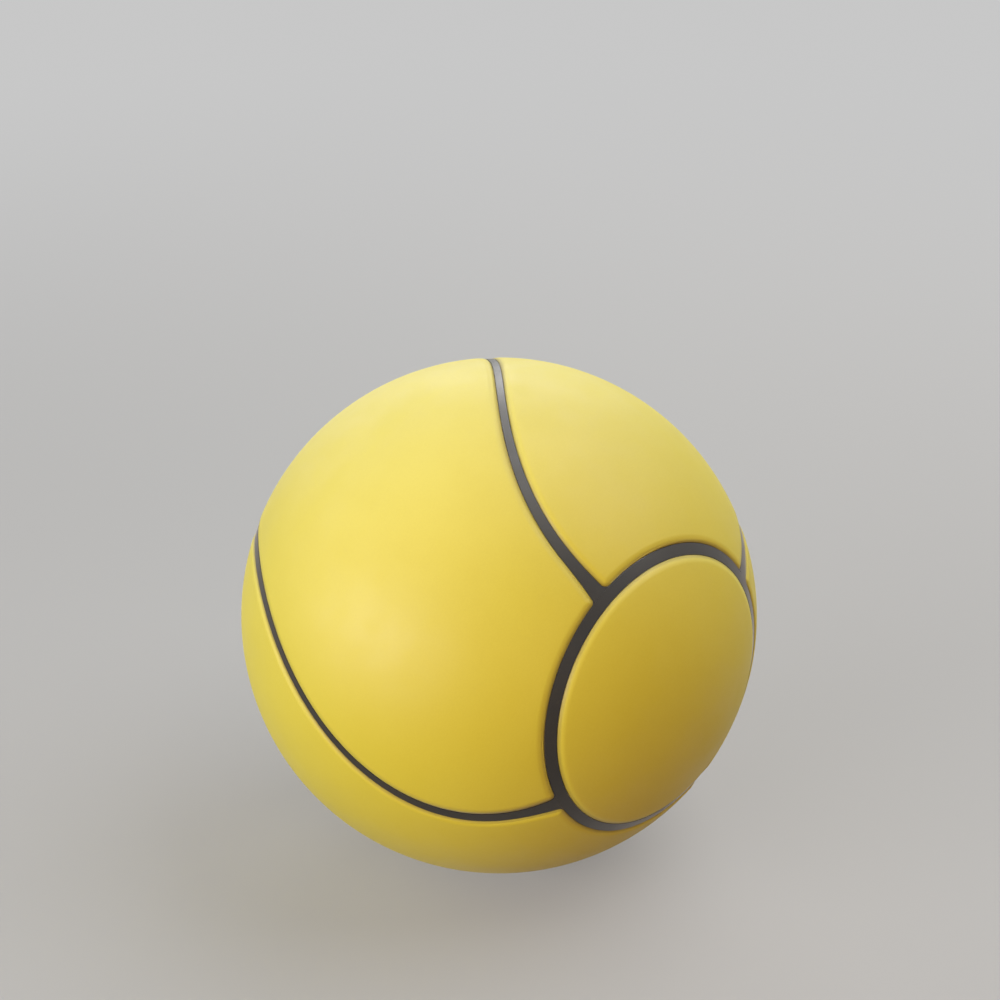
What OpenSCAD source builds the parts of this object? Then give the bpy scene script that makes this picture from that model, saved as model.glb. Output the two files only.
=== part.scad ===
// Rubber tetherball with two round end panels, four swirling side panels, dark strips in the
// channels between them, an inflated bladder, and a recess with a cross pin for the rope.
// The cap axis runs along Y: the plain cap faces -Y and the tether recess opens towards +Y.

/* [Ball] */
// Outside diameter over the panels
ball_d = 215; // [200:1:230]

/* [Cover panels] */
// Thickness of a cover panel
panel_t = 1.8; // [1.4:0.1:2.6]
// Straight diameter across a round end panel
cap_d = 115.1; // [100:0.1:125]
// Width of the channel around an end panel
ring_w = 5.3; // [4:0.1:9]
// Width of a swirling channel at its ends
channel_w = 5.1; // [3.5:0.1:8]
// Width of a swirling channel halfway along
channel_mid_w = 3.4; // [2.5:0.1:6]
// Turn of a swirling channel from its middle to either end, in degrees
swirl = 29.5; // [0:0.5:36]
// Straight run of a swirling channel before it meets the ring
lead_l = 3.5; // [0:0.5:10]
// Rounding of a side panel's corners
corner_r = 2.6; // [2.5:0.1:6]
// Rounding of the panel edges
edge_r = 1; // [0.4:0.1:1.2]

/* [Channel strips] */
// Thickness of the dark strip at the bottom of a channel
strip_t = 1.3; // [0.5:0.1:1.5]
// Gap on each side of a strip
strip_fit = 0.25; // [0.15:0.05:0.5]

/* [Layers under the panels] */
// Thickness of the rubber carcass
carcass_t = 0.7; // [0.5:0.1:1.2]
// Thickness of the wound thread layer
winding_t = 0.4; // [0.3:0.1:1]
// Thickness of the bladder
bladder_t = 0.6; // [0.4:0.1:1.2]
// Adhesive film between two layers
bond_gap = 0.2; // [0.15:0.05:0.4]

/* [Tether recess] */
// Inside diameter of the recess
pocket_d = 38; // [34:0.5:44]
// Depth of the recess below the ball's surface
pocket_depth = 38; // [34:0.5:44]
// Rounding at the bottom of the recess
pocket_fillet = 5; // [2:0.5:8]
// Wall of the cup
cup_t = 3; // [2:0.25:4]
// Width of the anchor flange beyond the cup wall
anchor_w = 14; // [10:0.5:18]
// Thickness of the anchor flange
anchor_t = 1.2; // [0.8:0.1:2]
// Width of the collar around the mouth
collar_w = 10; // [6:0.5:14]
// Gap between the collar and the rear end panel
collar_gap = 0.3; // [0.2:0.05:0.5]

/* [Tether pin] */
// Diameter of the cross pin
pin_d = 8; // [6:0.5:10]
// Depth of the pin's axis below the ball's surface
pin_depth = 17; // [15.5:0.5:19]
// Diameter of the bosses that hold the pin
boss_d = 16; // [13:0.5:18]
// Length of each boss outside the cup wall
boss_l = 5; // [3:0.5:6]
// Bond film around the pin in its bosses
pin_fit = 0.1; // [0.1:0.05:0.3]
// Outside diameter of the turning sleeve
sleeve_d = 12; // [10.5:0.5:14]
// Radial clearance of the sleeve on the pin
sleeve_fit = 0.08; // [0.03:0.01:0.1]
// Play between the sleeve's ends and the recess wall
sleeve_play = 1; // [0.5:0.1:2]

/* [Valve] */
// Diameter of the valve tube
valve_d = 9; // [8:0.5:12]
// Length of the valve tube
valve_l = 14; // [12:0.5:20]
// Diameter of the valve's flange inside the bladder
valve_flange_d = 28; // [22:1:34]
// Thickness of that flange
valve_flange_t = 1.2; // [0.8:0.1:2]
// Gap between the valve tube and the layers it passes through
valve_gap = 0.3; // [0.2:0.05:0.5]
// How far the valve sits below the panel's surface
valve_sink = 0.4; // [0.2:0.1:1]
// Diameter of the self-sealing core
core_d = 5; // [4:0.25:6]
// Length of the core
core_l = 10; // [8:0.5:11.5]
// Bond film around the core
core_fit = 0.1; // [0.1:0.05:0.2]
// Diameter of the needle hole
needle_d = 2; // [1.6:0.1:2.4]

/* [Hidden] */
$fn = 160;
r_ball = ball_d / 2;
r_cover = r_ball - panel_t;
r_floor = r_cover + strip_t;
r_carcass = r_cover - bond_gap;
r_winding = r_carcass - carcass_t - bond_gap;
r_anchor = r_winding - winding_t - bond_gap;
r_bladder = r_anchor;
bladder_step = anchor_t + bond_gap;
function arc_deg(len) = len / r_ball * 180 / PI;
cap_deg = asin(cap_d / ball_d);
ring_deg = cap_deg + arc_deg(ring_w);
turn_deg = ring_deg + arc_deg(lead_l);
corner_deg = arc_deg(corner_r);
pocket_r = pocket_d / 2;
cup_r = pocket_r + cup_t;
anchor_r = cup_r + anchor_w;
collar_r = pocket_r + collar_w;
mouth_y = sqrt(pow(r_ball, 2) - pow(pocket_r, 2));
floor_y = r_ball - pocket_depth;
pin_y = r_ball - pin_depth;
pin_half = cup_r + boss_l;
fold_r = sqrt(pow(pin_half, 2) + pow(boss_d / 2, 2)) + 1;
fold_y = floor_y - cup_t - 2 * bond_gap;
hole_r = cup_r + bond_gap;
sleeve_half = sqrt(pow(pocket_r, 2) - pow(sleeve_d / 2, 2)) - sleeve_play;
valve_hole_r = valve_d / 2 + valve_gap;
valve_bore_r = core_d / 2 + core_fit;
valve_top = r_ball - valve_sink;
valve_flange_r = r_bladder - bladder_t - bond_gap;
valve_turn = 45;
far = 2 * ball_d;

yellow = [0.86, 0.74, 0.2];
dark = [0.2, 0.2, 0.2];
black = [0.1, 0.1, 0.1];

// Revolved pieces are drawn with the cap axis along Z, the rear pole up, and laid over onto Y.
module polar() { rotate([-90, 0, 0]) children(); }

// Half disc on the axis side of a revolved outline.
module half_disc(r) {
    intersection() {
        circle(r);
        translate([0, -far / 2]) square([far, far]);
    }
}

// Slice between two radii.
module half_ring(inner, outer) {
    difference() {
        half_disc(outer);
        circle(inner);
    }
}

// Sector of the outline between two angles from the rear pole.
module sector(from, to) {
    polygon([[0, 0], for (i = [0:4]) let (a = from + (to - from) * i / 4) far * [sin(a), cos(a)]]);
}

// Rounded edge of a panel as pairs of depth below the surface and inset from the side. The last pair
// carries the slope on past the surface, so that it cuts the surface cleanly at edge_r from the side.
edge_knee = edge_r * (1 - cos(45));
edge_out = 2 * edge_r - edge_knee;
edge = [[edge_r, 0], [edge_knee, edge_knee], [-edge_knee, edge_out]];

// Outline of a round end panel measured from its own pole, with the edge rolled off.
module cap_outline() {
    intersection() {
        half_ring(r_cover, r_ball);
        polygon(concat([[0, 0]],
            [for (e = edge) let (a = cap_deg - arc_deg(e[1])) (r_ball - e[0]) * [sin(a), cos(a)]],
            [far * [sin(cap_deg - arc_deg(edge_out)), cos(cap_deg - arc_deg(edge_out))], [0, far]]));
    }
}

// Direction at an angle from the front pole and a clockwise turn from the top, seen from the front.
function ray(t, p) = [sin(t) * sin(p), -cos(t), sin(t) * cos(p)];
function unit(v) = v / norm(v);
// How far along its half a swirling channel is at an angle from the front pole: 0 halfway, 1 at an end.
function swing(t) = sin(90 * max(-1, min(1, (t - 90) / (90 - turn_deg))));
// Turn of the channel's middle line there, and half of its width in degrees.
function seam_turn(t) = swirl * swing(t);
function half_w(t) = arc_deg(channel_mid_w + (channel_w - channel_mid_w) * pow(swing(t), 2)) / 2;
// Point beside that line, on the turning side for a positive offset.
function beside(t, p, off) =
    let (c = ray(t, p + seam_turn(t)),
         f = unit(ray(t + 0.2, p + seam_turn(t + 0.2)) - ray(t - 0.2, p + seam_turn(t - 0.2))))
    unit(cos(off) * c + sin(off) * unit(cross(c, f)));

// Border of a side panel about the top, as directions, round its four rounded corners.
steps = 32;
arc_steps = 16;
bend_steps = 5;
function side_line(p, side) = [for (i = [0:steps])
    let (t = ring_deg + corner_deg + (180 - 2 * ring_deg - 2 * corner_deg) * i / steps)
    beside(t, p, side * half_w(t))];
function end_arc(t, p0, p1) = let (c = corner_deg / sin(t))
    [for (i = [0:arc_steps]) ray(t, p0 + c + (p1 - p0 - 2 * c) * i / arc_steps)];
function bend(a, c, b) = [for (i = [1:bend_steps - 1]) let (u = i / bend_steps)
    unit((1 - u) * (1 - u) * a + 2 * sqrt(0.5) * u * (1 - u) * c + u * u * b)];
function flip(v) = [for (i = [len(v) - 1:-1:0]) v[i]];
function turn_of(v) = atan2(v[0], v[2]);
right_side = side_line(45, 1);
left_side = side_line(-45, -1);
corner_fr = beside(ring_deg, 45, half_w(ring_deg));
corner_fl = beside(ring_deg, -45, -half_w(ring_deg));
corner_rr = beside(180 - ring_deg, 45, half_w(ring_deg));
corner_rl = beside(180 - ring_deg, -45, -half_w(ring_deg));
front_arc = end_arc(ring_deg, turn_of(corner_fl), turn_of(corner_fr));
rear_arc = flip(end_arc(180 - ring_deg, turn_of(corner_rl), turn_of(corner_rr)));
border = concat(front_arc, bend(front_arc[arc_steps], corner_fr, right_side[0]),
    right_side, bend(right_side[steps], corner_rr, rear_arc[0]),
    rear_arc, bend(rear_arc[arc_steps], corner_rl, left_side[steps]),
    flip(left_side), bend(left_side[0], corner_fl, front_arc[0]));
n_border = len(border);
function inset(i, off) =
    let (p = border[i], q = border[(i + 1) % n_border] - border[(i + n_border - 1) % n_border])
    unit(cos(off) * p + sin(off) * unit(cross(p, q)));

// Wedge from the ball's centre through a side panel's border, with the edge rolled off.
module gore_wedge() {
    rows = concat([for (e = edge) [r_ball - e[0], arc_deg(e[1])]], [[1.3 * r_ball, arc_deg(edge_out)]]);
    points = concat([[0, 0, 0], [0, 0, 3 * r_ball]],
        [for (r = rows) for (i = [0:n_border - 1]) r[0] * inset(i, r[1])]);
    function at(k, i) = 2 + k * n_border + i % n_border;
    last = len(rows) - 1;
    faces = concat([for (i = [0:n_border - 1]) [0, at(0, i), at(0, i + 1)]],
        [for (k = [0:last - 1]) for (i = [0:n_border - 1]) [at(k, i), at(k + 1, i), at(k, i + 1)]],
        [for (k = [0:last - 1]) for (i = [0:n_border - 1]) [at(k + 1, i), at(k + 1, i + 1), at(k, i + 1)]],
        [for (i = [0:n_border - 1]) [1, at(last, i + 1), at(last, i)]]);
    polyhedron(points, faces);
}

// Side panel about the top of the ball.
module gore() {
    intersection() {
        polar() rotate([0, 0, 90]) difference() {
            sphere(r_ball);
            sphere(r_cover);
        }
        gore_wedge();
    }
}

// Swirling channel strip through the top of the ball.
module strip() {
    n = 40;
    start = ring_deg - 3;
    points = [for (i = [0:n])
        let (t = start + (180 - 2 * start) * i / n, off = half_w(t) - arc_deg(strip_fit))
        for (q = [[0.9, 1], [0.9, -1], [1.1, -1], [1.1, 1]]) q[0] * r_ball * beside(t, 0, q[1] * off)];
    faces = concat([[3, 2, 1], [3, 1, 0], [4 * n, 4 * n + 1, 4 * n + 2], [4 * n, 4 * n + 2, 4 * n + 3]],
        [for (i = [0:n - 1]) for (j = [0:3]) [4 * i + j, 4 * i + (j + 1) % 4, 4 * i + 4 + j]],
        [for (i = [0:n - 1]) for (j = [0:3])
            [4 * i + (j + 1) % 4, 4 * i + 4 + (j + 1) % 4, 4 * i + 4 + j]]);
    intersection() {
        polar() rotate([0, 0, 90]) rotate_extrude() intersection() {
            half_ring(r_cover, r_floor);
            sector(ring_deg, 180 - ring_deg);
        }
        polyhedron(points, faces);
    }
}

// Strip in the channel around an end panel, measured from its own pole.
module ring_strip() {
    rotate_extrude() intersection() {
        half_ring(r_cover, r_floor);
        sector(cap_deg + arc_deg(strip_fit), ring_deg - arc_deg(strip_fit));
    }
}

// Round shell layer with the hole for the tether cup and the hole for the valve.
module layer(outer, t) {
    difference() {
        polar() rotate_extrude() difference() {
            half_ring(outer - t, outer);
            square([hole_r, far]);
        }
        valve_hole();
    }
}

// Way for the valve tube through a layer.
module valve_hole() {
    rotate([0, valve_turn, 0]) translate([0, 0, 0.8 * r_ball]) cylinder(r = valve_hole_r, h = 0.4 * r_ball);
}

module front_cap_panel() {
    color(yellow) rotate([90, 0, 0]) rotate_extrude() cap_outline();
}

module rear_cap_panel() {
    color(yellow) polar() rotate_extrude() difference() {
        cap_outline();
        square([collar_r + collar_gap, far]);
    }
}

module upper_right_gore() {
    color(yellow) difference() {
        rotate([0, 45, 0]) gore();
        valve_hole();
    }
}

module lower_right_gore() { color(yellow) rotate([0, 135, 0]) gore(); }

module lower_left_gore() { color(yellow) rotate([0, 225, 0]) gore(); }

module upper_left_gore() { color(yellow) rotate([0, 315, 0]) gore(); }

module front_seam_ring() { color(dark) rotate([90, 0, 0]) ring_strip(); }

module rear_seam_ring() { color(dark) polar() ring_strip(); }

module top_seam_strip() { color(dark) strip(); }

module right_seam_strip() { color(dark) rotate([0, 90, 0]) strip(); }

module bottom_seam_strip() { color(dark) rotate([0, 180, 0]) strip(); }

module left_seam_strip() { color(dark) rotate([0, 270, 0]) strip(); }

module carcass_shell() { color([0.16, 0.15, 0.14]) layer(r_carcass, carcass_t); }

module nylon_winding() { color([0.85, 0.83, 0.76]) layer(r_winding, winding_t); }

// Outline of the bladder's outside, or of its inside when drawn smaller by the wall.
module bladder_outline(wall) {
    step_deg = asin((anchor_r + bond_gap + wall) / (r_bladder - bladder_step - wall));
    difference() {
        half_disc(r_bladder - wall);
        intersection() {
            half_ring(r_bladder - bladder_step - wall, far);
            sector(0, step_deg);
        }
        translate([0, fold_y - wall]) square([fold_r + wall, far]);
    }
}

module bladder() {
    color(black) difference() {
        polar() rotate_extrude() difference() {
            bladder_outline(0);
            bladder_outline(bladder_t);
        }
        valve_hole();
    }
}

module valve_housing() {
    color(dark) rotate([0, valve_turn, 0]) rotate_extrude() {
        intersection() {
            half_disc(valve_top);
            translate([valve_bore_r, valve_top - valve_l]) square([valve_d / 2 - valve_bore_r, far]);
        }
        intersection() {
            half_ring(valve_flange_r - valve_flange_t, valve_flange_r);
            translate([valve_bore_r, 0]) square([valve_flange_d / 2 - valve_bore_r, far]);
        }
    }
}

module valve_core() {
    color(black) rotate([0, valve_turn, 0]) translate([0, 0, valve_top - core_l]) difference() {
        cylinder(d = core_d, h = core_l);
        translate([0, 0, -1]) cylinder(d = needle_d, h = core_l + 2);
    }
}

// Outline of the recess, rounded at the bottom.
module pocket_outline() {
    translate([0, floor_y]) square([pocket_r - pocket_fillet, far]);
    translate([0, floor_y + pocket_fillet]) square([pocket_r, far]);
    translate([pocket_r - pocket_fillet, floor_y + pocket_fillet]) circle(pocket_fillet);
}

module tether_cup() {
    color(dark) difference() {
        union() {
            polar() rotate_extrude() {
                intersection() {
                    half_disc(r_cover - bond_gap);
                    translate([0, floor_y - cup_t]) square([cup_r, far]);
                }
                intersection() {
                    half_ring(r_anchor - anchor_t, r_anchor);
                    square([anchor_r, far]);
                }
            }
            translate([0, pin_y, 0]) rotate([0, 90, 0])
                cylinder(d = boss_d, h = 2 * pin_half, center = true);
        }
        polar() rotate_extrude() pocket_outline();
        translate([0, pin_y, 0]) rotate([0, 90, 0])
            cylinder(d = pin_d + 2 * pin_fit, h = 2 * pin_half + 2, center = true);
    }
}

module mouth_collar() {
    color(dark) polar() rotate_extrude() intersection() {
        half_ring(r_cover, r_ball);
        translate([pocket_r, 0]) square([collar_w, far]);
        polygon([[0, 0], [pocket_r, mouth_y - edge_r], [pocket_r + edge_knee, mouth_y - edge_knee],
            [pocket_r + edge_out, mouth_y + edge_knee], [pocket_r + edge_out, far], [far, far], [far, 0]]);
    }
}

module tether_pin() {
    color([0.7, 0.7, 0.72]) translate([0, pin_y, 0]) rotate([0, 90, 0])
        cylinder(d = pin_d, h = 2 * pin_half, center = true);
}

module pin_sleeve() {
    color([0.9, 0.9, 0.86]) translate([0, pin_y, 0]) rotate([0, 90, 0]) difference() {
        cylinder(d = sleeve_d, h = 2 * sleeve_half, center = true);
        cylinder(d = pin_d + 2 * sleeve_fit, h = 2 * sleeve_half + 2, center = true);
    }
}

front_cap_panel();
rear_cap_panel();
upper_right_gore();
lower_right_gore();
lower_left_gore();
upper_left_gore();
front_seam_ring();
rear_seam_ring();
top_seam_strip();
right_seam_strip();
bottom_seam_strip();
left_seam_strip();
carcass_shell();
nylon_winding();
bladder();
valve_housing();
valve_core();
tether_cup();
mouth_collar();
tether_pin();
pin_sleeve();
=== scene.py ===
"""Looks of a yellow rubber tetherball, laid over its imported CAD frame.

The cap axis runs along Y: the plain round cap faces -Y and the rope recess opens towards +Y.
Every new piece is a surface worked out as whole arrays, in metres, in the frame's own axes.
"""
import math

import bpy
import numpy as np
from mathutils import Matrix, Vector


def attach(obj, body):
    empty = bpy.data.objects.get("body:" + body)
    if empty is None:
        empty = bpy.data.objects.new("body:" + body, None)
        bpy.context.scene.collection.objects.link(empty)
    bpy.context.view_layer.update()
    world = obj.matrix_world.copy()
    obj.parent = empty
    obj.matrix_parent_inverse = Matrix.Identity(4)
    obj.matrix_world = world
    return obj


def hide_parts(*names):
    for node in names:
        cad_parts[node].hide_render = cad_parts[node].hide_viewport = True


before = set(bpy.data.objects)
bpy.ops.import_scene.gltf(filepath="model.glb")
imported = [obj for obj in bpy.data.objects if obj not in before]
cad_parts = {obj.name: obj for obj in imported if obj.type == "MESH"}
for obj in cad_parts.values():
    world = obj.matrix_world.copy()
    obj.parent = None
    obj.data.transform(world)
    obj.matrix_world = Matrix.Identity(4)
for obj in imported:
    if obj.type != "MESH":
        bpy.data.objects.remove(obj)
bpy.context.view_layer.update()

# ---- sizes of the ball, in metres, as the CAD source has them ----
MM = 0.001
BALL_R = 107.5 * MM
PANEL_T = 1.8 * MM
CAP_R = 57.55 * MM
RING_W = 5.3 * MM
CHANNEL_W = 5.1 * MM
CHANNEL_MID_W = 3.4 * MM
SWIRL_DEG = 29.5
LEAD = 3.5 * MM
CORNER_R = 2.6 * MM
STRIP_T = 1.3 * MM
STRIP_FIT = 0.25 * MM
POCKET_R = 19.0 * MM
COLLAR_R = 29.0 * MM
COLLAR_GAP = 0.3 * MM
PIN_R = 4.0 * MM
PIN_Y = 90.5 * MM
PIN_HALF = 27.0 * MM
SLEEVE_R = 6.0 * MM
SLEEVE_FIT = 0.08 * MM
SLEEVE_PLAY = 1.0 * MM
VALVE_R = 4.5 * MM
VALVE_L = 14.0 * MM
VALVE_SINK = 0.4 * MM
VALVE_GAP = 0.3 * MM
VALVE_FLANGE_R = 14.0 * MM
VALVE_FLANGE_TOP = 103.2 * MM
VALVE_FLANGE_T = 1.2 * MM
VALVE_BORE_R = 2.6 * MM
CORE_R = 2.5 * MM
CORE_L = 10.0 * MM
NEEDLE_R = 1.0 * MM

COVER_R = BALL_R - PANEL_T
FLOOR_R = COVER_R + STRIP_T
SLEEVE_HALF = math.sqrt(POCKET_R ** 2 - SLEEVE_R ** 2) - SLEEVE_PLAY
VALVE_TOP = BALL_R - VALVE_SINK

# ---- finer forms of the panels' edges, which are the scene's own ----
TIGHT_CORNER_R = 1.3 * MM
# width and depth of the moulded edge that rolls off towards the channel
ROLL_W = 3.4 * MM
ROLL_D = 0.55 * MM
# how much a channel's side moves out beside a tight corner, the angle from the pole where that starts, and how far
# it goes on past the ring, as a share of its way
FLARE_W = 2.4 * MM
FLARE_FROM_DEG = 46
FLARE_MOST = 1.1
# heights of two rows of points up the channel wall, from a panel's underside
WALL_STEPS = np.array([0.05 * MM, 0.6 * PANEL_T])
# round lip of the side panel's hole for the valve
VALVE_LIP = 0.35 * MM
# rounded rim of the rear panel's hole: its width, and the way out and down to each row of it
HOLE_RIM_W = 0.8 * MM
HOLE_RIM_OUT = np.array([0.6, 0.35, 0.15, 0.03, 0.0]) * MM
HOLE_RIM_DOWN = np.array([0.0, 0.04, 0.15, 0.36, 0.62]) * MM
# how far a swirling strip's top lies under the rings' tops, so that they share no face
STRIP_SINK = 0.004 * MM


def arc_deg(length):
    """Degrees that a length along the ball's surface takes up."""
    return np.degrees(length / BALL_R)


CAP_DEG = math.degrees(math.asin(CAP_R / BALL_R))
RING_DEG = CAP_DEG + arc_deg(RING_W)
TURN_DEG = RING_DEG + arc_deg(LEAD)
CORNER_DEG = arc_deg(CORNER_R)
TIGHT_CORNER_DEG = arc_deg(TIGHT_CORNER_R)


# ---- directions and lines on the ball ----
def unit(v):
    """Vectors divided by their own lengths."""
    return v / np.linalg.norm(v, axis=-1, keepdims=True)


def ray(theta, phi):
    """Direction theta degrees from the front pole, turned phi degrees clockwise from the top as the front shows it."""
    t, p = np.radians(theta), np.radians(phi)
    t, p = np.broadcast_arrays(t, p)
    return np.stack([np.sin(t) * np.sin(p), -np.cos(t), np.sin(t) * np.cos(p)], -1)


def swing(theta):
    """Sine of how far along its half a swirling channel is: 0 halfway, 1 and -1 at its ends."""
    return np.sin(np.radians(90 * np.clip((theta - 90) / (90 - TURN_DEG), -1, 1)))


def seam_turn(theta):
    """Turn of a swirling channel's middle line: the swirl times the swing."""
    return SWIRL_DEG * swing(theta)


def half_w_deg(theta):
    """Half of a swirling channel's width, which grows with the square of the swing from its middle to its ends."""
    return arc_deg(CHANNEL_MID_W + (CHANNEL_W - CHANNEL_MID_W) * swing(theta) ** 2) / 2


def corner_flare(theta):
    """Extra half-width beside the tight corners. It grows with the square of the way from where it starts to the ring,
    and a little past the ring, where the strips tuck in."""
    way = np.clip((FLARE_FROM_DEG - theta) / (FLARE_FROM_DEG - RING_DEG), 0, FLARE_MOST)
    return arc_deg(FLARE_W) * way ** 2


def beside(theta, phi, off):
    """Point off degrees to the side of the middle line that crosses the equator at phi."""
    step = 0.2
    here = ray(theta, phi + seam_turn(theta))
    along = unit(ray(theta + step, phi + seam_turn(theta + step)) - ray(theta - step, phi + seam_turn(theta - step)))
    o = np.radians(np.broadcast_to(off, here.shape[:-1]))[..., None]
    return unit(np.cos(o) * here + np.sin(o) * unit(np.cross(here, along)))


def bend(a, corner, b, n):
    """Round corner from a to b: the rational quadratic curve that is a circle's arc where the corner is square."""
    u = np.linspace(0, 1, n + 2)[1:-1, None]
    return unit((1 - u) ** 2 * a + 2 * math.sqrt(0.5) * u * (1 - u) * corner + u ** 2 * b)


def gore_border():
    """Loop of directions round a side panel about the top: two ring arcs and two channel sides, with bent corners. The
    right front corner and the left rear one are the tighter pair."""
    side_n, arc_n, bend_n = 130, 70, 14
    ends = np.array([RING_DEG, 180 - RING_DEG])
    right_theta = np.linspace(ends[0] + TIGHT_CORNER_DEG, ends[1] - CORNER_DEG, side_n)
    left_theta = 180 - right_theta[::-1]
    right = beside(right_theta, 45, half_w_deg(right_theta) + corner_flare(right_theta))
    left = beside(left_theta, -45, -half_w_deg(left_theta) - corner_flare(180 - left_theta))
    right_end = beside(ends, 45, half_w_deg(ends) + corner_flare(ends))
    left_end = beside(ends, -45, -half_w_deg(ends) - corner_flare(180 - ends))

    def arc(k, left_back, right_back):
        """Ring arc between the two corners at one end, held back from each by its corner's length."""
        wider = 1 / math.sin(math.radians(RING_DEG))
        lo = np.degrees(np.arctan2(left_end[k, 0], left_end[k, 2])) + left_back * wider
        hi = np.degrees(np.arctan2(right_end[k, 0], right_end[k, 2])) - right_back * wider
        return ray(ends[k], np.linspace(lo, hi, arc_n))

    front = arc(0, CORNER_DEG, TIGHT_CORNER_DEG)
    rear = arc(1, TIGHT_CORNER_DEG, CORNER_DEG)[::-1]
    return np.concatenate([
        front, bend(front[-1], right_end[0], right[0], bend_n),
        right, bend(right[-1], right_end[1], rear[0], bend_n),
        rear, bend(rear[-1], left_end[1], left[-1], bend_n),
        left[::-1], bend(left[0], left_end[0], front[0], bend_n)])


def turned(points, deg):
    """Points turned about the cap axis, clockwise as the front shows it."""
    a = math.radians(deg)
    turn = np.array([[math.cos(a), 0, math.sin(a)], [0, 1, 0], [-math.sin(a), 0, math.cos(a)]])
    return points @ turn.T


# ---- meshes ----
SHARP_DEG = 48


def surface(name, grid, rows_close=False, start=None, end=None, rim=None):
    """Mesh of a grid of points whose columns close round. Rows either close too, or end in a fan to one point."""
    rows, cols = grid.shape[:2]
    index = np.arange(rows * cols).reshape(rows, cols)
    lower = index if rows_close else index[:-1]
    upper = np.roll(index, -1, 0) if rows_close else index[1:]
    quads = np.stack([lower, np.roll(lower, -1, 1), np.roll(upper, -1, 1), upper], -1).reshape(-1, 4)
    points = [grid.reshape(-1, 3)]
    fans = []
    for tip, ring in ((start, index[0][::-1]), (end, index[-1])):
        if tip is not None:
            apex = sum(len(p) for p in points)
            points.append(np.asarray(tip, float)[None])
            fans.append(np.stack([ring, np.roll(ring, -1), np.full(cols, apex)], -1))
    points = np.concatenate(points)
    fans = np.concatenate(fans) if fans else np.zeros((0, 3), int)
    corners = np.concatenate([quads[:, [0, 1, 2]], quads[:, [0, 2, 3]], fans])
    volume = np.einsum("ij,ij->i", points[corners[:, 0]], np.cross(points[corners[:, 1]], points[corners[:, 2]])).sum()
    if volume < 0:
        quads, fans = quads[:, ::-1], fans[:, ::-1]
    mesh = bpy.data.meshes.new(name)
    mesh.from_pydata(points.tolist(), [], quads.tolist() + fans.tolist())
    mesh.polygons.foreach_set("use_smooth", np.ones(len(mesh.polygons), bool))
    mesh.update()
    mesh.set_sharp_from_angle(angle=math.radians(SHARP_DEG))
    if rim is not None:
        values = np.zeros(len(points), np.float32)
        values[:rows * cols] = rim.reshape(-1)
        values[rows * cols:] = rim.max()
        mesh.attributes.new("rim_mm", "FLOAT", "POINT").data.foreach_set("value", values)
    piece = bpy.data.objects.new(name, mesh)
    bpy.context.scene.collection.objects.link(piece)
    return piece


def dress(piece, body, slot, finish, *nodes):
    """Gives a piece its finish and the body it rides on, and hides the CAD nodes it stands for; slot is not used."""
    piece.data.materials.append(finish)
    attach(piece, body)
    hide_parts(*nodes)


def roll_depth(length):
    """Depth of a panel's surface at a length from its border: half a parabola that ends level with the ball."""
    return ROLL_D * np.clip(1 - length / ROLL_W, 0, 1) ** 2


def gore_cover(name, turn, hole_r, finish, *nodes):
    """Side panel about the top, turned into place. Each column goes from the middle out under the panel, up the channel
    wall and back over the top along the same great circle to the middle, or to the rounded rim of a hole there. The top
    lies under the ball's surface by the rolled edge's depth at each point's own distance from the border."""
    border = gore_border()
    middle = np.array([0.0, 0.0, 1.0])
    wide = np.arccos(border @ middle)[:, None]
    side = unit(border - (border @ middle)[:, None] * middle)
    hole = hole_r / BALL_R
    lip = VALVE_LIP / BALL_R
    top_rows, crowding = 72, 1.9

    def ring(angle):
        """Directions at an angle from the middle, one to a column."""
        return np.cos(angle) * middle + np.sin(angle) * side

    def from_border(directions):
        """Length along the ball from each direction to the nearest point of the border."""
        return np.arccos(np.clip((directions @ border.T).max(-1), -1, 1)) * BALL_R

    under = [ring(hole + (wide - hole) * share) * COVER_R for share in (0.02, 0.3, 0.6, 0.85, 0.96, 0.99, 1.0)]
    walls = [border * (COVER_R + height) for height in WALL_STEPS]
    shares = np.linspace(0, 1, top_rows)[:-1] ** crowding
    tops = [ring(wide - (wide - hole - 3 * lip) * share) for share in shares]
    lengths = [from_border(top) for top in tops]
    rows = under + walls + [top * (BALL_R - roll_depth(length))[:, None] for top, length in zip(tops, lengths)]
    rim = [np.zeros(len(border))] * (len(under) + len(walls)) + lengths
    tips = {}
    if hole_r:
        lips = [(1.0, 0.0), (0.45, 0.1), (0.1, 0.45), (0.0, 1.0)]
        rows += [ring(np.full_like(wide, hole + out * lip)) * (BALL_R - down * lip * BALL_R) for out, down in lips]
        rim += [lengths[-1]] * len(lips)
        rows = [ring(np.full_like(wide, hole)) * COVER_R] + rows
        rim = [rim[0]] + rim
    else:
        tips = {"start": turned(middle * COVER_R, turn), "end": turned(middle * BALL_R, turn)}
    piece = surface(name, turned(np.array(rows), turn), rows_close=bool(hole_r), rim=np.array(rim) / MM, **tips)
    dress(piece, "ball", "cover", finish, *nodes)


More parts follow.
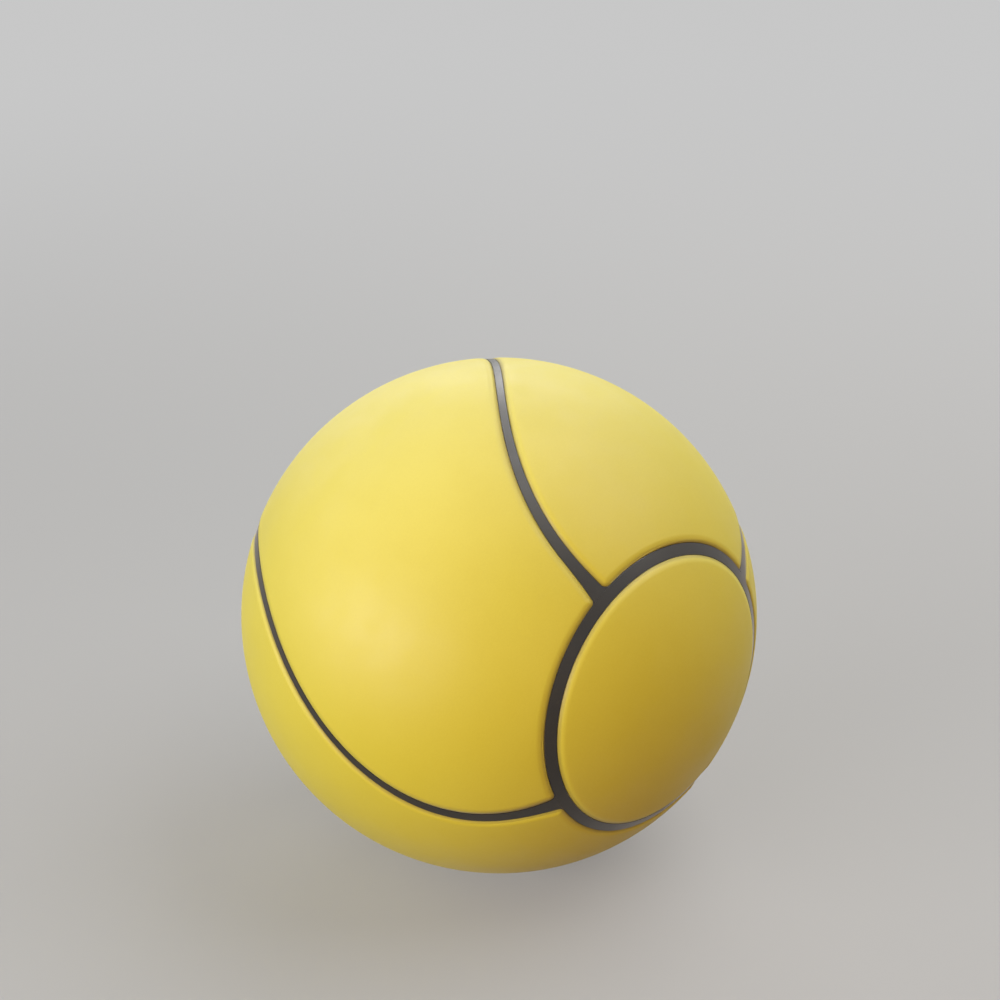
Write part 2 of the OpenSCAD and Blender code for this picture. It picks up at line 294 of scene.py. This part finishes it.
def revolved(name, profile, axis="rear", n=360, closed=True, rim=None):
    """Surface of (radius, height) pairs turned about an axis: rear is +Y, front is -Y, pin is X through the pin's
    middle, and valve is halfway between +X and +Z. A profile that isn't closed starts and ends on the axis."""
    profile = np.asarray(profile, float)
    a = np.linspace(0, 2 * np.pi, n, endpoint=False)
    half = math.sqrt(0.5)
    frames = {"rear": ((1, 0, 0), (0, 0, 1), (0, 1, 0)), "front": ((1, 0, 0), (0, 0, 1), (0, -1, 0)),
              "pin": ((0, 1, 0), (0, 0, 1), (1, 0, 0)), "valve": ((0, 1, 0), (half, 0, -half), (half, 0, half))}
    u, v, w = (np.array(d, float) for d in frames[axis])
    spokes = np.cos(a)[:, None] * u + np.sin(a)[:, None] * v
    ring = profile if closed else profile[1:-1]
    grid = ring[:, 0, None, None] * spokes + ring[:, 1, None, None] * w
    offset = np.array([0, PIN_Y, 0]) if axis == "pin" else np.zeros(3)
    grid = grid + offset
    if rim is not None:
        rim = np.repeat(np.asarray(rim, float)[:, None], n, 1)
    if closed:
        return surface(name, grid, rows_close=True, rim=rim)
    return surface(name, grid, start=profile[0, 1] * w + offset, end=profile[-1, 1] * w + offset, rim=rim)


def on_ball(radius, deg):
    """(radius, height) pairs at a distance from the ball's middle and an angle from the pole."""
    r, a = np.broadcast_arrays(np.asarray(radius, float), np.radians(deg))
    return np.stack([r * np.sin(a), r * np.cos(a)], -1)


def cap_cover(name, axis, hole_r, finish, *nodes):
    """Round end panel: out along its underside, up the channel wall, over the rolled edge and back to its middle, or to
    the rounded rim of its hole."""
    top_rows, crowding = 60, 1.7
    hole = math.degrees(math.asin(hole_r / BALL_R)) if hole_r else 0.0
    under = on_ball(COVER_R, np.linspace(hole, CAP_DEG, 12))
    wall = on_ball(COVER_R + WALL_STEPS, CAP_DEG)
    lip = HOLE_RIM_OUT if hole_r else np.zeros(0)
    drop = HOLE_RIM_DOWN if hole_r else np.zeros(0)
    inner = hole + arc_deg(HOLE_RIM_W) if hole_r else 0.0
    top_deg = CAP_DEG - (CAP_DEG - inner) * np.linspace(0, 1, top_rows) ** crowding
    length = (CAP_DEG - top_deg) / arc_deg(1.0)
    top = on_ball(BALL_R - roll_depth(length), top_deg)
    mouth = on_ball(BALL_R - drop, hole + arc_deg(lip))
    rim = np.concatenate([np.zeros(len(under) + len(wall)), length, np.full(len(mouth), length[-1])]) / MM
    profile = np.concatenate([under, wall, top, mouth])
    if hole_r:
        piece = revolved(name, profile, axis, rim=rim)
    else:
        piece = revolved(name, profile, axis, closed=False, rim=rim[1:-1])
    dress(piece, "ball", "cover", finish, *nodes)


def ring_floor(name, axis, finish, *nodes):
    """Strip round an end cap: a flat band on the ball's curve."""
    lo, hi = CAP_DEG + arc_deg(STRIP_FIT), RING_DEG - arc_deg(STRIP_FIT)
    profile = np.concatenate([on_ball(COVER_R, np.linspace(hi, lo, 8)), on_ball(FLOOR_R, np.linspace(lo, hi, 16))])
    dress(revolved(name, profile, axis), "ball", "seam", finish, *nodes)


def strip_floor(name, turn, finish, *nodes):
    """Strip in a swirling channel: one flat cross-section carried along the seam line, in steps that a sine crowds
    towards its ends. It tucks against the rings, and widens there as the panels' rounded corners do."""
    steps, crowding, fullness, across_n = 240, 0.12, 0.92, 9
    tuck = arc_deg(STRIP_FIT)
    even = np.linspace(0, 1, steps)
    share = even - crowding * np.sin(2 * np.pi * even) / np.pi
    theta = RING_DEG - tuck + (180 - 2 * RING_DEG + 2 * tuck) * share

    def flare(corner, from_end):
        """Widening beside a round corner: nearly all that a quarter circle leaves of its square."""
        return fullness * corner * (1 - np.sqrt(1 - np.clip(1 - from_end / corner, 0, 1) ** 2))

    front, rear = theta - RING_DEG, 180 - RING_DEG - theta
    plain = half_w_deg(theta) - tuck
    left_half = plain + flare(TIGHT_CORNER_DEG, front) + flare(CORNER_DEG, rear) + corner_flare(theta)
    right_half = plain + flare(CORNER_DEG, front) + flare(TIGHT_CORNER_DEG, rear) + corner_flare(180 - theta)
    across = np.concatenate([np.linspace(-1, 1, across_n), np.linspace(1, -1, across_n)])
    radius = np.repeat([COVER_R, FLOOR_R - STRIP_SINK], across_n)
    grid = np.stack([beside(theta, 0.0, a * np.where(a > 0, left_half, right_half)) * r
                     for a, r in zip(across, radius)], 1)
    middle = (COVER_R + FLOOR_R) / 2
    tips = [beside(theta[[k]], 0.0, 0.0)[0] * middle for k in (0, -1)]
    piece = surface(name, turned(grid, turn), start=turned(tips[0], turn), end=turned(tips[1], turn))
    dress(piece, "ball", "seam", finish, *nodes)


# ---- finishes ----
class Finish:
    """A node material on object coordinates, built up from a few named kinds of node."""

    def __init__(self, name):
        self.material = bpy.data.materials.new(name)
        self.material.use_nodes = True
        self.tree = self.material.node_tree
        self.shader = self.tree.nodes["Principled BSDF"]
        self.place = self.tree.nodes.new("ShaderNodeTexCoord").outputs["Object"]

    def node(self, kind, values=(), **settings):
        """A node with some settings and with numbers or links on its inputs."""
        made = self.tree.nodes.new(kind)
        for key, value in settings.items():
            setattr(made, key, value)
        for key, value in dict(values).items():
            if isinstance(value, bpy.types.NodeSocket):
                self.tree.links.new(value, made.inputs[key])
            else:
                made.inputs[key].default_value = value
        return made

    def noise(self, scale, detail=3.0, rough=0.55, warp=0.0, place=None):
        """Cloudy pattern with about scale cells to the metre."""
        return self.node("ShaderNodeTexNoise", {"Vector": place or self.place, "Scale": scale, "Detail": detail,
                                                "Roughness": rough, "Distortion": warp}).outputs["Fac"]

    def spread(self, value, low, high, to_low=0.0, to_high=1.0, smooth=True):
        """A value's range moved to another one, and held there."""
        kind = "SMOOTHSTEP" if smooth else "LINEAR"
        return self.node("ShaderNodeMapRange", {"Value": value, "From Min": low, "From Max": high, "To Min": to_low,
                                                "To Max": to_high}, interpolation_type=kind).outputs["Result"]

    def mix(self, share, a, b, blend="MIX"):
        """Two colours mixed by a share."""
        return self.node("ShaderNodeMix", {0: share, 6: a, 7: b}, data_type="RGBA", blend_type=blend).outputs[2]

    def maths(self, kind, a, b):
        """One sum on two numbers."""
        return self.node("ShaderNodeMath", {0: a, 1: b}, operation=kind).outputs[0]

    def rim(self):
        """Distance from a panel's edge, in millimetres."""
        return self.node("ShaderNodeAttribute", attribute_name="rim_mm").outputs["Fac"]

    def bump(self, height, strength, depth, under=None, invert=False):
        """Surface relief of a given depth in metres, on top of another relief, or sunk instead of raised."""
        values = {"Height": height, "Strength": strength, "Distance": depth}
        if under is not None:
            values["Normal"] = under
        return self.node("ShaderNodeBump", values, invert=invert).outputs["Normal"]

    def set(self, **values):
        """Numbers, colours or links on the shader's own sockets."""
        for key, value in values.items():
            socket = self.shader.inputs[key.replace("_", " ")]
            if isinstance(value, bpy.types.NodeSocket):
                self.tree.links.new(value, socket)
            else:
                socket.default_value = value
        return self.material


def shade(r, g, b):
    """A colour from its screen values, 0 to 255, as light."""
    c = np.array([r, g, b]) / 255
    c = np.where(c <= 0.04045, c / 12.92, ((c + 0.055) / 1.055) ** 2.4)
    return (*(float(x) for x in c), 1.0)


# relief of the rolled edge in the cover's material: how far in from the edge it reaches, and how deep it is there
EDGE_W_MM = 3.6
EDGE_DIP = 0.9 * MM


def yellow_cover():
    """Satin moulded rubber: two close yellows in clouds, a fine speck, faint scuffs, and grime with painted shade in
    the rolled edges, darker towards the channel.
    """
    f = Finish("yellow_cover_rubber")
    clouds = f.spread(f.noise(13.0, 4.0, 0.55, 0.4), 0.32, 0.68)
    base = f.mix(clouds, shade(230, 212, 54), shade(233, 216, 64))
    speck = f.spread(f.noise(1500.0, 2.0), 0.35, 0.65, 0.0, 0.05)
    base = f.mix(speck, base, shade(196, 170, 36))
    scuff = f.spread(f.noise(46.0, 6.0, 0.7, 1.2), 0.62, 0.78, 0.0, 0.10)
    base = f.mix(scuff, base, shade(214, 196, 92))
    # painted shade with some grime: the rolled edges darken towards the channel, in the crease beside the strip
    grime_and_painted_shade = f.spread(f.rim(), 0.1, 1.9, 0.62, 0.0)
    grime_and_painted_shade = f.maths("MULTIPLY", grime_and_painted_shade, f.spread(f.noise(170.0, 4.0), 0.2, 0.8, 0.75, 1.0))
    base = f.mix(grime_and_painted_shade, base, shade(132, 104, 26))
    rough = f.spread(f.noise(60.0, 5.0, 0.6), 0.3, 0.7, 0.50, 0.60)
    inward = f.spread(f.rim(), 0.0, EDGE_W_MM, 1.0, 0.0, smooth=False)
    grain = f.bump(f.maths("MULTIPLY", inward, inward), 1.0, EDGE_DIP, invert=True)
    grain = f.bump(f.noise(2600.0, 2.0, 0.5), 0.10, 0.12 * MM, grain)
    grain = f.bump(f.noise(420.0, 3.0, 0.5), 0.05, 0.3 * MM, grain)
    return f.set(Base_Color=base, Roughness=rough, Normal=grain, IOR=1.5, Specular_IOR_Level=0.8,
                 Sheen_Weight=0.1, Sheen_Roughness=0.5)


def seam_rubber():
    """Smooth dark strip: near-black rubber with a grey bloom and fine dust."""
    f = Finish("dark_seam_rubber")
    clouds = f.spread(f.noise(38.0, 4.0), 0.3, 0.7)
    base = f.mix(clouds, shade(34, 30, 24), shade(43, 38, 30))
    dust = f.spread(f.noise(900.0, 3.0), 0.56, 0.8, 0.0, 0.15)
    base = f.mix(dust, base, shade(92, 80, 50))
    rough = f.spread(f.noise(120.0, 4.0), 0.3, 0.7, 0.34, 0.44)
    return f.set(Base_Color=base, Roughness=rough, Normal=f.bump(f.noise(700.0, 3.0), 0.06, 0.2 * MM), IOR=1.5,
                 Sheen_Weight=0.8, Sheen_Roughness=0.35)


def moulded_rubber(name, low, high, gloss):
    """Plain moulded rubber in a cloudy dark tone, with a fine mould grain."""
    f = Finish(name)
    base = f.mix(f.spread(f.noise(55.0, 5.0, 0.6), 0.3, 0.7), shade(*low), shade(*high))
    rough = f.spread(f.noise(240.0, 3.0), 0.3, 0.7, gloss, gloss + 0.14)
    return f.set(Base_Color=base, Roughness=rough, Normal=f.bump(f.noise(1800.0, 2.0), 0.12, 0.15 * MM))


def wound_thread():
    """Wound nylon: three crossing sets of fine turns in off-white latex."""
    f = Finish("wound_nylon_thread")
    total = None
    for tilt in ((0.3, 0.2, 0.1), (1.3, 0.5, 0.9), (0.7, 1.5, 2.1)):
        turn = f.node("ShaderNodeMapping", {"Vector": f.place, "Rotation": tilt}).outputs["Vector"]
        lines = f.node("ShaderNodeTexWave", {"Vector": turn, "Scale": 260.0, "Distortion": 1.5, "Detail": 2.0},
                       wave_type="BANDS").outputs["Fac"]
        total = lines if total is None else f.maths("MAXIMUM", total, lines)
    base = f.mix(total, shade(150, 142, 118), shade(226, 220, 200))
    return f.set(Base_Color=base, Roughness=0.7, Normal=f.bump(total, 0.4, 0.3 * MM))


def plated_steel():
    """Zinc-plated steel, brushed round the pin."""
    f = Finish("plated_steel_pin")
    turn = f.node("ShaderNodeMapping", {"Vector": f.place, "Scale": (900.0, 40.0, 40.0)}).outputs["Vector"]
    lines = f.noise(1.0, 4.0, 0.6, place=turn)
    base = f.mix(f.spread(lines, 0.3, 0.7), shade(176, 178, 182), shade(205, 206, 208))
    rough = f.spread(lines, 0.3, 0.7, 0.24, 0.38)
    return f.set(Base_Color=base, Roughness=rough, Metallic=1.0, Normal=f.bump(lines, 0.05, 0.1 * MM))


def worn_nylon():
    """Natural nylon: ivory, with fine turning lines and a grey rub where the rope runs."""
    f = Finish("natural_nylon_sleeve")
    turn = f.node("ShaderNodeMapping", {"Vector": f.place, "Scale": (1400.0, 60.0, 60.0)}).outputs["Vector"]
    lines = f.noise(1.0, 3.0, 0.6, place=turn)
    base = f.mix(f.spread(lines, 0.3, 0.7), shade(222, 217, 200), shade(234, 230, 216))
    along = f.node("ShaderNodeSeparateXYZ", {"Vector": f.place}).outputs["X"]
    rub = f.spread(f.maths("ABSOLUTE", along, 0.0), 3 * MM, 11 * MM, 0.5, 0.0)
    rub = f.maths("MULTIPLY", rub, f.spread(f.noise(260.0, 5.0, 0.65), 0.35, 0.7, 0.2, 1.0))
    base = f.mix(rub, base, shade(170, 164, 150))
    return f.set(Base_Color=base, Roughness=f.spread(lines, 0.3, 0.7, 0.38, 0.5), Normal=f.bump(lines, 0.08, 0.1 * MM))


YELLOW = yellow_cover()
SEAM = seam_rubber()
RECESS = moulded_rubber("recess_rubber", (40, 39, 37), (54, 53, 50), 0.44)
CARCASS = moulded_rubber("carcass_rubber", (40, 37, 34), (52, 48, 44), 0.6)
BUTYL = moulded_rubber("butyl_bladder", (24, 24, 25), (34, 34, 35), 0.36)
VALVE = moulded_rubber("valve_rubber", (26, 26, 26), (38, 37, 36), 0.38)
THREAD = wound_thread()
STEEL = plated_steel()
NYLON = worn_nylon()

# ---- cover panels and channel strips ----
cap_cover("front_cap_cover", "front", 0.0, YELLOW, "front_cap_panel")
cap_cover("rear_cap_cover", "rear", COLLAR_R + COLLAR_GAP, YELLOW, "rear_cap_panel")
gore_cover("upper_right_cover", 45, VALVE_R + VALVE_GAP, YELLOW, "upper_right_gore")
gore_cover("lower_right_cover", 135, 0.0, YELLOW, "lower_right_gore")
gore_cover("lower_left_cover", 225, 0.0, YELLOW, "lower_left_gore")
gore_cover("upper_left_cover", 315, 0.0, YELLOW, "upper_left_gore")
ring_floor("front_ring_floor", "front", SEAM, "front_seam_ring")
ring_floor("rear_ring_floor", "rear", SEAM, "rear_seam_ring")
strip_floor("top_channel_floor", 0, SEAM, "top_seam_strip")
strip_floor("right_channel_floor", 90, SEAM, "right_seam_strip")
strip_floor("bottom_channel_floor", 180, SEAM, "bottom_seam_strip")
strip_floor("left_channel_floor", 270, SEAM, "left_seam_strip")


# ---- rope recess ----
def collar_ring(name):
    """Collar round the mouth: on the ball's curve, with a rounded lip, a shallow groove and a bevelled outer edge."""
    def at(r, below):
        """Point at a radius from the axis, some depth under the ball's surface."""
        return [r, math.sqrt((BALL_R - below) ** 2 - r ** 2)]
    groove, lip_r, lip_d = 25.5 * MM, 1.9 * MM, 1.5 * MM
    groove_mm = ((-0.55, 0.0), (-0.35, 0.18), (0.0, 0.3), (0.35, 0.18), (0.55, 0.0))
    edge_mm = ((-0.3, 0.06), (-0.08, 0.25), (0.0, 0.6))
    top = [at(r, 0.0) for r in np.linspace(21.0, 24.6, 5) * MM]
    dip = [at(groove + out * MM, down * MM) for out, down in groove_mm]
    outer = [at(r, 0.0) for r in np.linspace(26.4, 28.3, 4) * MM]
    a = np.radians(np.linspace(0, 90, 9))
    lip = [at(POCKET_R + lip_r * (1 - math.cos(t)), lip_d * (1 - math.sin(t))) for t in a]
    edge = [at(COLLAR_R + out * MM, down * MM) for out, down in edge_mm]
    under = [at(r, PANEL_T) for r in np.linspace(COLLAR_R, POCKET_R, 10)]
    return revolved(name, lip + top + dip + outer + edge + under, "rear")


def sleeve_tube(name):
    """Sleeve on the pin: a tube with rounded ends, worn thinner by a bell curve where the rope runs."""
    wear, wear_span, soft, bevel = 0.22 * MM, 0.42, 0.9 * MM, 0.3 * MM
    x = np.linspace(-1, 1, 41)
    worn = wear * np.exp(-(x / wear_span) ** 2)
    reach = SLEEVE_HALF - soft
    a = np.radians(np.linspace(0, 90, 7))
    left = np.stack([SLEEVE_R - soft * (1 - np.sin(a)), -reach - soft * np.cos(a)], -1)
    right = np.stack([left[::-1, 0], -left[::-1, 1]], -1)
    outside = np.stack([SLEEVE_R - worn, x * reach], -1)
    bore = PIN_R + SLEEVE_FIT
    inside = np.array([[bore + bevel, SLEEVE_HALF], [bore, SLEEVE_HALF - bevel], [bore, 0.0],
                       [bore, -SLEEVE_HALF + bevel], [bore + bevel, -SLEEVE_HALF]])
    return revolved(name, np.concatenate([left, outside[1:-1], right, inside]), "pin", n=128)


def pin_bar(name):
    """Cross pin: a plain bar with bevelled ends, the profile of one half and its mirror image."""
    bevel = 0.6 * MM
    crest = 0.3 * bevel
    half = np.array([[0, PIN_HALF], [PIN_R - bevel, PIN_HALF], [PIN_R - crest, PIN_HALF - crest],
                     [PIN_R, PIN_HALF - bevel], [PIN_R, SLEEVE_HALF]])
    return revolved(name, np.concatenate([half * (1, -1), [[PIN_R, 0]], half[::-1]]), "pin", n=96, closed=False)


dress(collar_ring("mouth_collar_ring"), "ball", "cup", RECESS, "mouth_collar")
dress(sleeve_tube("rope_sleeve"), "sleeve", "sleeve", NYLON, "pin_sleeve")
dress(pin_bar("cross_pin_bar"), "ball", "pin", STEEL, "tether_pin")


# ---- valve ----
def valve_body(name):
    """Valve tube with its flange inside the bladder, and a soft bead round the top."""
    bead = np.array([[VALVE_BORE_R, -1.2], [VALVE_BORE_R, -0.45], [2.75 * MM, -0.28], [3.05 * MM, -0.2],
                     [3.4 * MM, 0.02], [3.75 * MM, 0.1], [4.1 * MM, 0.02], [4.38 * MM, -0.22], [VALVE_R, -0.6]])
    bead[:, 1] = VALVE_TOP + bead[:, 1] * MM
    down = VALVE_FLANGE_TOP
    far = VALVE_FLANGE_R
    flange = [[VALVE_R, math.sqrt(down ** 2 - VALVE_R ** 2) + 0.4 * MM], [VALVE_R + 0.4 * MM, down - 0.1 * MM]]
    flange += [[r, math.sqrt(down ** 2 - r ** 2)] for r in np.linspace(5.5, 13.7, 8) * MM]
    low = down - VALVE_FLANGE_T
    flange += [[far, math.sqrt(down ** 2 - far ** 2) - 0.35 * MM], [far, math.sqrt(low ** 2 - far ** 2) + 0.3 * MM]]
    flange += [[r, math.sqrt(low ** 2 - r ** 2)] for r in np.linspace(13.7, 5.5, 8) * MM]
    foot = VALVE_TOP - VALVE_L
    tube = [[VALVE_R, low - 0.6 * MM], [VALVE_R, foot + 0.5 * MM], [VALVE_R - 0.5 * MM, foot],
            [VALVE_BORE_R + 0.3 * MM, foot], [VALVE_BORE_R, foot + 0.3 * MM]]
    return revolved(name, np.concatenate([bead, flange, tube]), "valve", n=120)


def valve_plug(name):
    """Self-sealing core: a plug with a low dome and a needle hole that opens in a small cone."""
    foot = VALVE_TOP - CORE_L
    top = VALVE_TOP
    outline = [[NEEDLE_R, foot], [CORE_R - 0.3 * MM, foot], [CORE_R, foot + 0.3 * MM], [CORE_R, top - 0.55 * MM],
               [CORE_R - 0.12 * MM, top - 0.4 * MM], [CORE_R - 0.5 * MM, top - 0.26 * MM], [1.75 * MM, top - 0.22 * MM],
               [1.5 * MM, top - 0.26 * MM], [NEEDLE_R + 0.12 * MM, top - 0.6 * MM], [NEEDLE_R, top - 0.95 * MM]]
    return revolved(name, outline, "valve", n=96)


dress(valve_body("valve_tube"), "ball", "valve", VALVE, "valve_housing")
dress(valve_plug("valve_plug"), "ball", "valve", VALVE, "valve_core")

# ---- CAD pieces that keep their own shape ----
for node, finish in {"tether_cup": RECESS, "carcass_shell": CARCASS, "nylon_winding": THREAD, "bladder": BUTYL}.items():
    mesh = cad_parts[node].data
    mesh.materials.clear()
    mesh.materials.append(finish)

# ---- camera: the photograph's, worked out from the ball's outline and the cap's tilt ----
LENS = 115.2
PITCH_DEG = 25.99
AZIMUTH_DEG = -44.60
DISTANCE = 12.458 * BALL_R
CLIP_START = 0.05
BALL_RIGHT, BALL_DOWN, BALL_AHEAD = -0.00028, 0.03581, 0.99936
a, e = math.radians(AZIMUTH_DEG), math.radians(PITCH_DEG)
towards = Vector((math.sin(a), -math.cos(a), 0))
right = Vector((math.cos(a), math.sin(a), 0))
ahead = -towards * math.cos(e) - Vector((0, 0, 1)) * math.sin(e)
above = Vector((0, 0, 1)) * math.cos(e) - towards * math.sin(e)
camera = bpy.data.objects.new("camera", bpy.data.cameras.new("camera"))
bpy.context.scene.collection.objects.link(camera)
camera.data.lens = LENS
camera.data.clip_start = CLIP_START
spot = -DISTANCE * (BALL_RIGHT * right - BALL_DOWN * above + BALL_AHEAD * ahead)
camera.matrix_world = Matrix.Translation(spot) @ Matrix((right, above, -ahead)).transposed().to_4x4()
bpy.context.scene.camera = camera


# ---- floor, backdrop and lights ----
PALE = shade(240, 240, 240)
FLOOR_TONE = shade(168, 167, 165)
FLOOR_HALF = 6.0
# the dim warm tone by which the floor lights the ball
FLOOR_BOUNCE = (0.11, 0.075, 0.05, 1.0)
# the floor's glow near the ball and far from it, and the distances between which it changes
FLOOR_GLOW = (0.24, 0.66)
FLOOR_FADE = (0.35, 1.1)
# the backdrop's strength as a light, and as the camera and reflections see it
BACKDROP_LIGHT = 0.02
BACKDROP_SEEN = 1.0
LAMP_DISTANCE = 1.3
WARM = (1.0, 0.58, 0.28)


def pale_floor():
    """Plain pale floor, a wide flat square: lit under the ball, and an even pale tone further out."""
    corners = [(x * FLOOR_HALF, y * FLOOR_HALF, -BALL_R) for x, y in ((-1, -1), (1, -1), (1, 1), (-1, 1))]
    mesh = bpy.data.meshes.new("floor")
    mesh.from_pydata(corners, [], [(0, 1, 2, 3)])
    floor = bpy.data.objects.new("floor", mesh)
    bpy.context.scene.collection.objects.link(floor)
    f = Finish("pale_floor")
    path = f.node("ShaderNodeLightPath").outputs
    mirrored = f.maths("MAXIMUM", path["Is Glossy Ray"], path["Is Transmission Ray"])
    seen = f.maths("MAXIMUM", path["Is Camera Ray"], mirrored)
    reach = f.node("ShaderNodeVectorMath", {0: f.place}, operation="LENGTH").outputs["Value"]
    far = f.spread(reach, *FLOOR_FADE)
    lit = f.mix(far, FLOOR_TONE, shade(0, 0, 0))
    glow = f.spread(far, 0.0, 1.0, *FLOOR_GLOW, smooth=False)
    f.set(Base_Color=f.mix(seen, FLOOR_BOUNCE, lit), Roughness=0.9, Specular_IOR_Level=0.0,
          Emission_Color=PALE, Emission_Strength=f.maths("MULTIPLY", seen, glow))
    mesh.materials.append(f.material)


def pale_backdrop():
    """Plain pale surround, seen past the floor and in glossy surfaces, that adds little light of its own."""
    world = bpy.data.worlds.new("studio")
    bpy.context.scene.world = world
    world.use_nodes = True
    nodes, links = world.node_tree.nodes, world.node_tree.links
    path = nodes.new("ShaderNodeLightPath")
    seen = path.outputs["Is Camera Ray"]
    for name in ("Is Glossy Ray", "Is Transmission Ray"):
        either = nodes.new("ShaderNodeMath")
        either.operation = "MAXIMUM"
        links.new(seen, either.inputs[0])
        links.new(path.outputs[name], either.inputs[1])
        seen = either.outputs["Value"]
    level = nodes.new("ShaderNodeMapRange")
    links.new(seen, level.inputs["Value"])
    level.inputs["To Min"].default_value = BACKDROP_LIGHT
    level.inputs["To Max"].default_value = BACKDROP_SEEN
    back = nodes["Background"]
    back.inputs["Color"].default_value = PALE
    links.new(level.outputs["Result"], back.inputs["Strength"])


def soft_light(name, sideways, toward, up, wide, tall, power, colour=(1, 1, 1), mirrored=True, lights=True):
    """Soft lamp aimed at the ball, placed by its direction from the ball as the camera's side sees it. A lamp may light
    the ball without being mirrored in it, or be mirrored without lighting it."""
    lamp = bpy.data.lights.new(name, "AREA")
    lamp.shape = "RECTANGLE"
    lamp.size = wide
    lamp.size_y = tall
    lamp.energy = power
    lamp.color = colour
    piece = bpy.data.objects.new(name, lamp)
    way = (right * sideways + towards * toward + Vector((0, 0, up))).normalized()
    piece.location = way * LAMP_DISTANCE
    piece.rotation_euler = way.to_track_quat("Z", "Y").to_euler()
    piece.visible_glossy = mirrored
    piece.visible_diffuse = lights
    bpy.context.scene.collection.objects.link(piece)


pale_floor()
# name, direction from the ball, width and height in metres, power in watts
soft_light("key", -0.60, 0.46, 0.65, 1.5, 1.4, 1.7)
soft_light("overhead", -0.14, -0.22, 0.93, 0.80, 0.80, 0.5)
soft_light("back", 0.12, -0.87, 0.47, 0.8, 0.6, 4.0)
soft_light("left_back", -0.73, -0.55, 0.42, 1.0, 0.8, 0.8)
soft_light("high_right", 0.56, -0.12, 0.83, 1.5, 1.2, 11.3)
soft_light("sky", -0.38, -0.28, 0.70, 3.0, 3.0, 54.0, lights=False)
soft_light("low_left", -0.80, 0.58, 0.16, 1.2, 0.3, 11.4)
soft_light("low_fill", 0.22, 0.96, 0.14, 1.4, 0.3, 4.9, WARM, mirrored=False)
pale_backdrop()
bpy.context.scene.view_settings.view_transform = "Standard"
